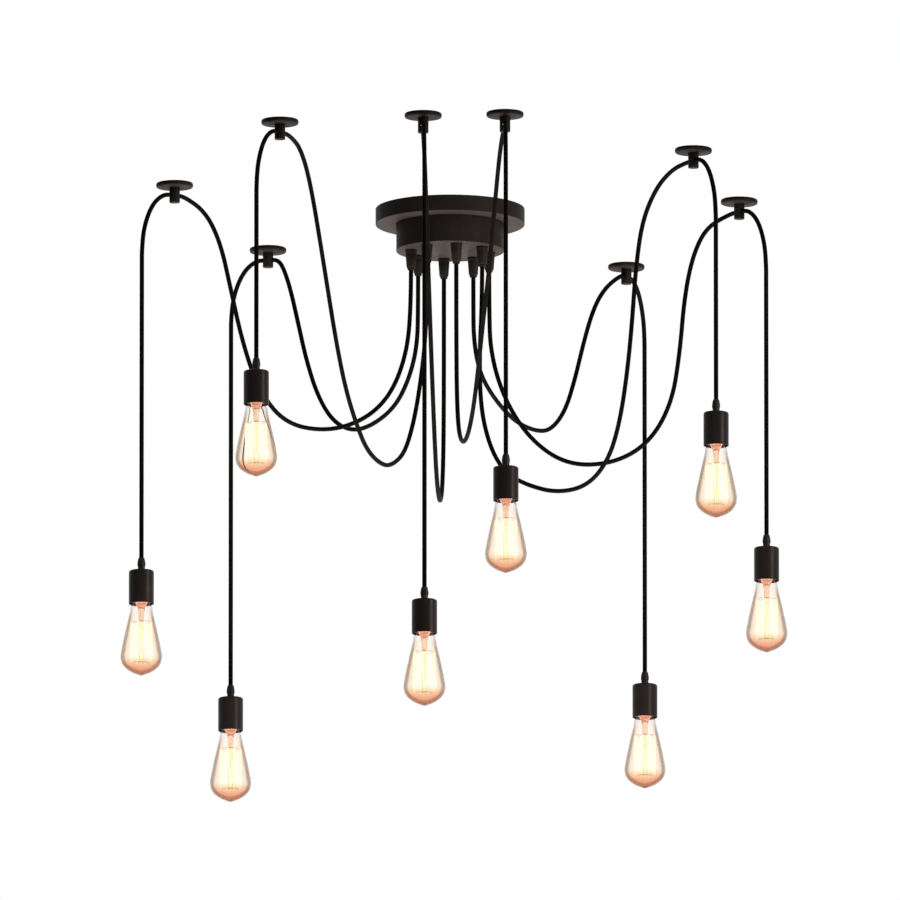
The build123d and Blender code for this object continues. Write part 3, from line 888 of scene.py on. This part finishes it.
def glands():
    """The eight tapered glands, each with a ring at its top and a rounded tip."""
    tip = outline(GLAND_TIP_OUTLINE, base=-GLAND_LENGTH)
    bore_top = GLAND_BORE_DEPTH - GLAND_LENGTH
    bore = [(CORD_BORE_RADIUS, -GLAND_LENGTH), (CORD_BORE_RADIUS, bore_top), (0, bore_top)]
    profile = [*outline(GLAND_OUTLINE), *tip, *bore]
    places = [gland_place(index) for index in range(GLAND_COUNT)]
    piece = turned("gland_bodies", profile, places, GLAND_SEGMENTS)
    round_edges(piece, GLAND_EDGE, segments=2)
    dress(piece, "root", "gland_plastic", GLAND_PLASTIC, "cord_glands")


def keep_node(name, material, edge=0):
    """A carried-over piece gets its material and, if asked, softened edges."""
    node = frame["nodes"][name]
    node.data.materials.clear()
    node.data.materials.append(material)
    if edge:
        round_edges(node, edge, segments=2)


canopy_pan()
canopy_tier()
glands()
keep_node("ceiling_bracket", ZINC, edge=0.3 * MM)
keep_node("canopy_fixing_screw", SCREW_STEEL, edge=0.3 * MM)
keep_node("terminal_block", TERMINAL_PLASTIC, edge=0.8 * MM)
keep_node("gland_nuts", GLAND_PLASTIC, edge=0.4 * MM)


# Hooks

HOOK_PLATE_SEGMENTS = 72
HOOK_STEM_SEGMENTS = 64
HOOK_STEM_EDGE = 0.35 * MM
CROSS_HOLE_SEGMENTS = 40

# A plate's rounded edge, outwards from its radius and up to the ceiling, and a stem's rounded end,
# outwards from its radius and up from its bottom
PLATE_EDGE = ((-2.6, -7.2), (-0.9, -6.5), (0, -3.6), (-0.6, -0.8), (-1.6, 0))
STEM_END = ((0, 1.0), (-0.3, 0.3), (-1.0, 0))

# The recess in a stem's end, where its set screw sits
RECESS_RADIUS = 2.3 * MM
RECESS_DEPTH = 0.8 * MM


def hook_plates():
    """The rounded discs on the ceiling."""
    edge = smooth_line(outline(PLATE_EDGE, radius=HOOK_PLATE_RADIUS), steps=4)
    profile = [(0, -HOOK_PLATE_THICKNESS), *edge, (0, 0)]
    places = [hook_place(number) for number in ARMS]
    piece = turned("hook_discs", profile, places, HOOK_PLATE_SEGMENTS)
    dress(piece, "root", "hook_paint", HOOK_PAINT, "hook_plates")


def cross_hole(number):
    """The cylinder that cuts an arm's cross-hole, along the direction of its arch."""
    radius = HOOK_CROSS_HOLE / 2
    work = bmesh.new()
    bmesh.ops.create_cone(
        work,
        cap_ends=True,
        segments=CROSS_HOLE_SEGMENTS,
        radius1=radius,
        radius2=radius,
        depth=4 * HOOK_STEM_RADIUS,
    )
    lay_down = Matrix.Rotation(math.pi / 2, 4, "Y")
    turn = Matrix.Rotation(math.radians(ARCH_DIRECTION[number]), 4, "Z")
    centre = hook_place(number) - Vector((0, 0, HOOK_CROSS_HOLE_DEPTH))
    place = Matrix.Translation(centre) @ (turn @ lay_down)
    bmesh.ops.transform(work, matrix=place, verts=work.verts)
    return finish_mesh("cutter", work)


def hook_stem(number):
    """A stem with a cross-hole for the cord."""
    top = -HOOK_PLATE_THICKNESS
    bottom = top - HOOK_STEM_LENGTH
    recess_top = bottom + RECESS_DEPTH
    profile = [
        (0, top), (HOOK_STEM_RADIUS, top), *outline(STEM_END, radius=HOOK_STEM_RADIUS, base=bottom),
        (RECESS_RADIUS, bottom), (RECESS_RADIUS, recess_top), (0, recess_top),
    ]
    stem = turned(f"hook_stem_skin_{number}", profile, [hook_place(number)], HOOK_STEM_SEGMENTS)
    cut_away(stem, cross_hole(number))
    round_edges(stem, HOOK_STEM_EDGE, segments=2)
    dress(stem, "root", "hook_paint", HOOK_PAINT, "hook_stems")


hook_plates()
for number in ARMS:
    hook_stem(number)
keep_node("hook_set_screws", SCREW_STEEL)


# Lamps: heights count from the top of the grip

GRIP_LENGTH = 20 * MM
GRIP_TOP_RADIUS = 4.5 * MM
GRIP_SPIGOT_RADIUS = 5 * MM
COVER_HEIGHT = 53 * MM
COVER_RADIUS = 19.6 * MM
COVER_HOLE_RADIUS = 5.2 * MM
COVER_EDGE = 3 * MM
COVER_CEILING = -GRIP_LENGTH - SHEET
COVER_MOUTH = -GRIP_LENGTH - COVER_HEIGHT
HOLDER_RADIUS = 16.5 * MM
HOLDER_MOUTH = COVER_MOUTH + 3 * MM
CAVITY_RADIUS = 14.3 * MM
CAVITY_TOP = HOLDER_MOUTH + 26 * MM
LAMP_SEGMENTS = 96
HOLDER_SEGMENTS = 64
GRIP_SEGMENTS = 48
STEM_SEGMENTS = 40

# A grip's outline down to its groove, and from there to the cover
GRIP_BELLY = ((4.8, -0.3), (5.2, -2), (6.0, -6), (6.4, -10), (6.3, -12))
GRIP_NECK = ((5.9, -12.6), (5.6, -14.5), (5.55, -17), (5.7, -20))

# Softened corners at the mouths of the cover and the lampholder, outwards from the wall's radius
# and up from the mouth
COVER_OUTER_CORNER = ((0, 0.4), (-0.4, 0))
COVER_INNER_CORNER = ((0.2, 0), (0, 0.3))
HOLDER_OUTER_CORNER = ((0, 0.6), (-0.6, 0))
HOLDER_INNER_CORNER = ((0.4, 0), (0, 0.4))

# Rolled threads of the screw shell and the bulb's cap
THREAD_PITCH = 3.6 * MM
STEPS_A_THREAD = 4
SHELL_BORE_RADIUS = 13.4 * MM
SHELL_WAVE = 0.35 * MM
SHELL_WALL = 0.25 * MM
SHELL_BOTTOM = HOLDER_MOUTH + 2.5 * MM
SHELL_STEPS = 24
CAP_THREAD_RADIUS = 12.55 * MM
CAP_WAVE = 0.45 * MM
CAP_THREAD_BOTTOM = HOLDER_MOUTH + 2.2 * MM
CAP_STEPS = 20

# The cap's rim, from the lampholder's mouth up, and its crown with the contact button, from its top
CAP_TOP = HOLDER_MOUTH + 22 * MM
CAP_RIM = ((12.45, 0), (12.9, 0), (13.05, 0.4), (12.9, 1.6))
CAP_CROWN = ((10.5, -0.6), (8.0, 0), (3.5, 0), (3.5, 1.7), (0, 2))

# The bulb's glass and stem, whose heights count from the cover's mouth
GLASS_WALL = 0.8 * MM
GLASS_INNER_TIP = -112.7 * MM
GLASS_LEAST_RADIUS = 0.2 * MM
GLASS_OUTLINE = (
    (12.3, 7), (12.3, 3.6), (13.2, 2.2), (14.8, -1), (17.0, -5), (18.0, -12), (19.6, -20),
    (22.2, -31), (25.2, -44), (28.4, -58.5), (31.0, -72), (32.4, -80.5), (32.2, -87),
    (30.2, -94), (26.0, -100), (20.0, -105), (12.6, -109.2), (6.0, -111.6), (2.6, -112.9), (0, -113.5),
)
STEM_OUTLINE = (
    (0, 21), (2.2, 20.6), (2.4, 10), (4.5, 7.2), (10.6, 6.8), (10.9, 5.4), (10.2, 2.6),
    (8.4, -0.6), (6.7, -4), (5.4, -9), (4.8, -15), (4.5, -21), (4.0, -25), (2.4, -27.4), (0, -28.2),
)


def cord_grip(number, place):
    """The waisted grip on the cord, with a shallow groove under its collar."""
    profile = [
        (0, -GRIP_BORE_DEPTH),
        (CORD_BORE_RADIUS, -GRIP_BORE_DEPTH),
        (CORD_BORE_RADIUS, 0),
        (GRIP_TOP_RADIUS, 0),
        *smooth_line(outline(GRIP_BELLY), steps=4),
        *smooth_line(outline(GRIP_NECK), steps=3),
        (GRIP_SPIGOT_RADIUS, -GRIP_LENGTH),
        (GRIP_SPIGOT_RADIUS, COVER_CEILING),
        (0, COVER_CEILING),
    ]
    piece = turned(f"cord_grip_{number}", profile, [place], GRIP_SEGMENTS)
    dress(piece, f"lamp_{number}", "lampholder_black", HOLDER_PLASTIC, f"lampholder_{number}")


def socket_cover(number, place):
    """The plain tube over the lampholder, with a rounded shoulder and a softened mouth."""
    top = -GRIP_LENGTH
    inner = COVER_RADIUS - SHEET
    outside = arc((COVER_RADIUS - COVER_EDGE, top - COVER_EDGE), COVER_EDGE, 90, 0, steps=8)
    inside = arc((inner - COVER_EDGE, COVER_CEILING - COVER_EDGE), COVER_EDGE, 0, 90, steps=6)
    profile = [
        (COVER_HOLE_RADIUS, top),
        *outside,
        *outline(COVER_OUTER_CORNER, radius=COVER_RADIUS, base=COVER_MOUTH),
        *outline(COVER_INNER_CORNER, radius=inner, base=COVER_MOUTH),
        *inside,
        (COVER_HOLE_RADIUS, COVER_CEILING),
    ]
    piece = turned(f"socket_shell_{number}", profile, [place], LAMP_SEGMENTS, closed=True)
    dress(piece, f"lamp_{number}", "socket_paint", SOCKET_PAINT, f"socket_cover_{number}")


def holder_cup(number, place):
    """The black insulating cup inside the cover, with a painted reddish glow at its mouth."""
    profile = [
        (0, COVER_CEILING),
        (HOLDER_RADIUS - COVER_EDGE, COVER_CEILING),
        (HOLDER_RADIUS, COVER_CEILING - COVER_EDGE),
        *outline(HOLDER_OUTER_CORNER, radius=HOLDER_RADIUS, base=HOLDER_MOUTH),
        *outline(HOLDER_INNER_CORNER, radius=CAVITY_RADIUS, base=HOLDER_MOUTH),
        (CAVITY_RADIUS, CAVITY_TOP),
        (0, CAVITY_TOP),
    ]
    piece = turned(f"holder_cup_{number}", profile, [place], HOLDER_SEGMENTS)
    dress(piece, f"lamp_{number}", "lampholder_black", HOLDER_PAINTED_GLOW)


def rolled_thread(radius, wave, first, bottom, steps):
    """A thread's outline upwards, where first is 1 for a crest at its start and -1 for a root."""
    points = []
    for step in range(steps):
        swell = (1 + first * math.cos(step * 2 * math.pi / STEPS_A_THREAD)) / 2
        points.append((radius + wave * swell, bottom + step * THREAD_PITCH / STEPS_A_THREAD))
    return points


def screw_shell(number, place):
    """The thin threaded sleeve in the lampholder."""
    inside = rolled_thread(SHELL_BORE_RADIUS, SHELL_WAVE, 1, SHELL_BOTTOM, SHELL_STEPS)
    outside = [(radius + SHELL_WALL, height) for radius, height in reversed(inside)]
    profile = inside + outside
    piece = turned(f"screw_shell_{number}", profile, [place], HOLDER_SEGMENTS, closed=True)
    dress(piece, f"lamp_{number}", "bulb_metal", BRASS)


def bulb_envelope(number, mouth):
    """The pear-shaped glass as a wall of its own thickness, hung from the cover's mouth."""
    outer = smooth_line(outline(GLASS_OUTLINE), steps=4)
    inner = []
    for before, point, after in zip(outer, outer[1:], outer[2:]):
        along = Vector((after[0] - before[0], after[1] - before[1])).normalized()
        radius = max(point[0] + along.y * GLASS_WALL, GLASS_LEAST_RADIUS)
        height = point[1] - along.x * GLASS_WALL
        if height > GLASS_INNER_TIP:
            inner.append((radius, height))
    inner.append((0, GLASS_INNER_TIP))
    profile = [*reversed(inner), (inner[0][0], outer[0][1]), *outer]
    piece = turned(f"bulb_envelope_{number}", profile, [mouth], LAMP_SEGMENTS)
    dress(piece, f"bulb_{number}", "bulb_glass", BULB_GLASS, f"bulb_glass_{number}")


def bulb_cap(number, place):
    """The threaded cap with its contact button."""
    thread = rolled_thread(CAP_THREAD_RADIUS, CAP_WAVE, -1, CAP_THREAD_BOTTOM, CAP_STEPS)
    rim = outline(CAP_RIM, base=HOLDER_MOUTH)
    crown = outline(CAP_CROWN, base=CAP_TOP)
    piece = turned(f"bulb_cap_{number}", [*rim, *thread, *crown], [place], HOLDER_SEGMENTS)
    dress(piece, f"bulb_{number}", "bulb_metal", BRASS, f"bulb_core_{number}")


def bulb_stem(number, mouth):
    """The glass stem: a flared tube that ends in a rounded rod."""
    profile = smooth_line(outline(STEM_OUTLINE), steps=3)
    piece = turned(f"bulb_stem_{number}", profile, [mouth], STEM_SEGMENTS)
    dress(piece, f"bulb_{number}", "bulb_glass", STEM_GLASS)


# Filament: heights count from the cover's mouth, and angles are in degrees

CAGE_RADIUS = 16.6 * MM
CAGE_LEGS = 18
CAGE_FIRST_ANGLE = 12
CAGE_TOP = -29.5 * MM
CAGE_BOTTOM = -92.5 * MM
CAGE_BEND_ANGLE = 3
CAGE_BEND_HEIGHT = 2.2 * MM
WIRE_RADIUS = 0.65 * MM
CORE_ANGLES = (30, 150, 270)
CORE_REACH = 3.4 * MM
CORE_TOP = -29 * MM
CORE_BOTTOM = -91.5 * MM
CORE_WIRE_RADIUS = 1.3 * MM
SUPPORT_HUB_TOP = -26 * MM
SUPPORT_HUB_BOTTOM = -91.5 * MM
SUPPORT_ROD_BOTTOM = -92 * MM
SUPPORT_HOOK = 0.2 * MM
SUPPORT_WIRE_RADIUS = 0.22 * MM
WIRE_ROUNDNESS = 2


def wires(name, number, strands, radius, material):
    """Thin wires of a bulb as one tube curve with a spline for each strand."""
    data = new_tube(name, radius, WIRE_ROUNDNESS)
    for points in strands:
        add_spline(data, "POLY", points)
    dress(new_object(name, data), f"bulb_{number}", "bulb_metal", material)


def cage_point(mouth, leg, height, turn=0):
    """A point on the filament's cage at one of its legs, turned from there by some degrees."""
    x, y = polar(CAGE_RADIUS, leg * 360 / CAGE_LEGS + CAGE_FIRST_ANGLE + turn)
    return mouth + Vector((x, y, height))


def filament(number, mouth):
    """One wire that runs down and up round the cage, with a short bend at each end of a leg."""
    points = []
    for leg in range(CAGE_LEGS + 1):
        low = leg % 2
        height = CAGE_BOTTOM if low else CAGE_TOP
        shoulder = height + (CAGE_BEND_HEIGHT if low else -CAGE_BEND_HEIGHT)
        points.append(cage_point(mouth, leg, shoulder, -CAGE_BEND_ANGLE))
        points.append(cage_point(mouth, leg, height))
        points.append(cage_point(mouth, leg, shoulder, CAGE_BEND_ANGLE))
    wires(f"filament_{number}", number, [points], WIRE_RADIUS, FILAMENT)


def filament_core(number, mouth):
    """The bright wires in the middle of the cage."""
    strands = []
    for angle in CORE_ANGLES:
        x, y = polar(CORE_REACH, angle)
        strands.append([mouth + Vector((x, y, CORE_TOP)), mouth + Vector((x, y, CORE_BOTTOM))])
    wires(f"filament_core_{number}", number, strands, CORE_WIRE_RADIUS, FILAMENT_CORE)


def support_wires(number, mouth):
    """The rod in the middle, and the spokes that hold the filament's bends."""
    upper_hub = mouth + Vector((0, 0, SUPPORT_HUB_TOP))
    lower_hub = mouth + Vector((0, 0, SUPPORT_HUB_BOTTOM))
    strands = []
    for leg in range(0, CAGE_LEGS, 2):
        strands.append([upper_hub, cage_point(mouth, leg, CAGE_TOP + SUPPORT_HOOK)])
        strands.append([lower_hub, cage_point(mouth, leg + 1, CAGE_BOTTOM - SUPPORT_HOOK)])
    strands.append([upper_hub, mouth + Vector((0, 0, SUPPORT_ROD_BOTTOM))])
    wires(f"support_wires_{number}", number, strands, SUPPORT_WIRE_RADIUS, BRASS)


for number in ARMS:
    place = lamp_place(number)
    mouth = place + Vector((0, 0, COVER_MOUTH))
    cord_grip(number, place)
    socket_cover(number, place)
    holder_cup(number, place)
    screw_shell(number, place)
    bulb_envelope(number, mouth)
    bulb_cap(number, place)
    bulb_stem(number, mouth)
    filament(number, mouth)
    filament_core(number, mouth)
    support_wires(number, mouth)

bpy.context.scene.view_settings.view_transform = "Standard"

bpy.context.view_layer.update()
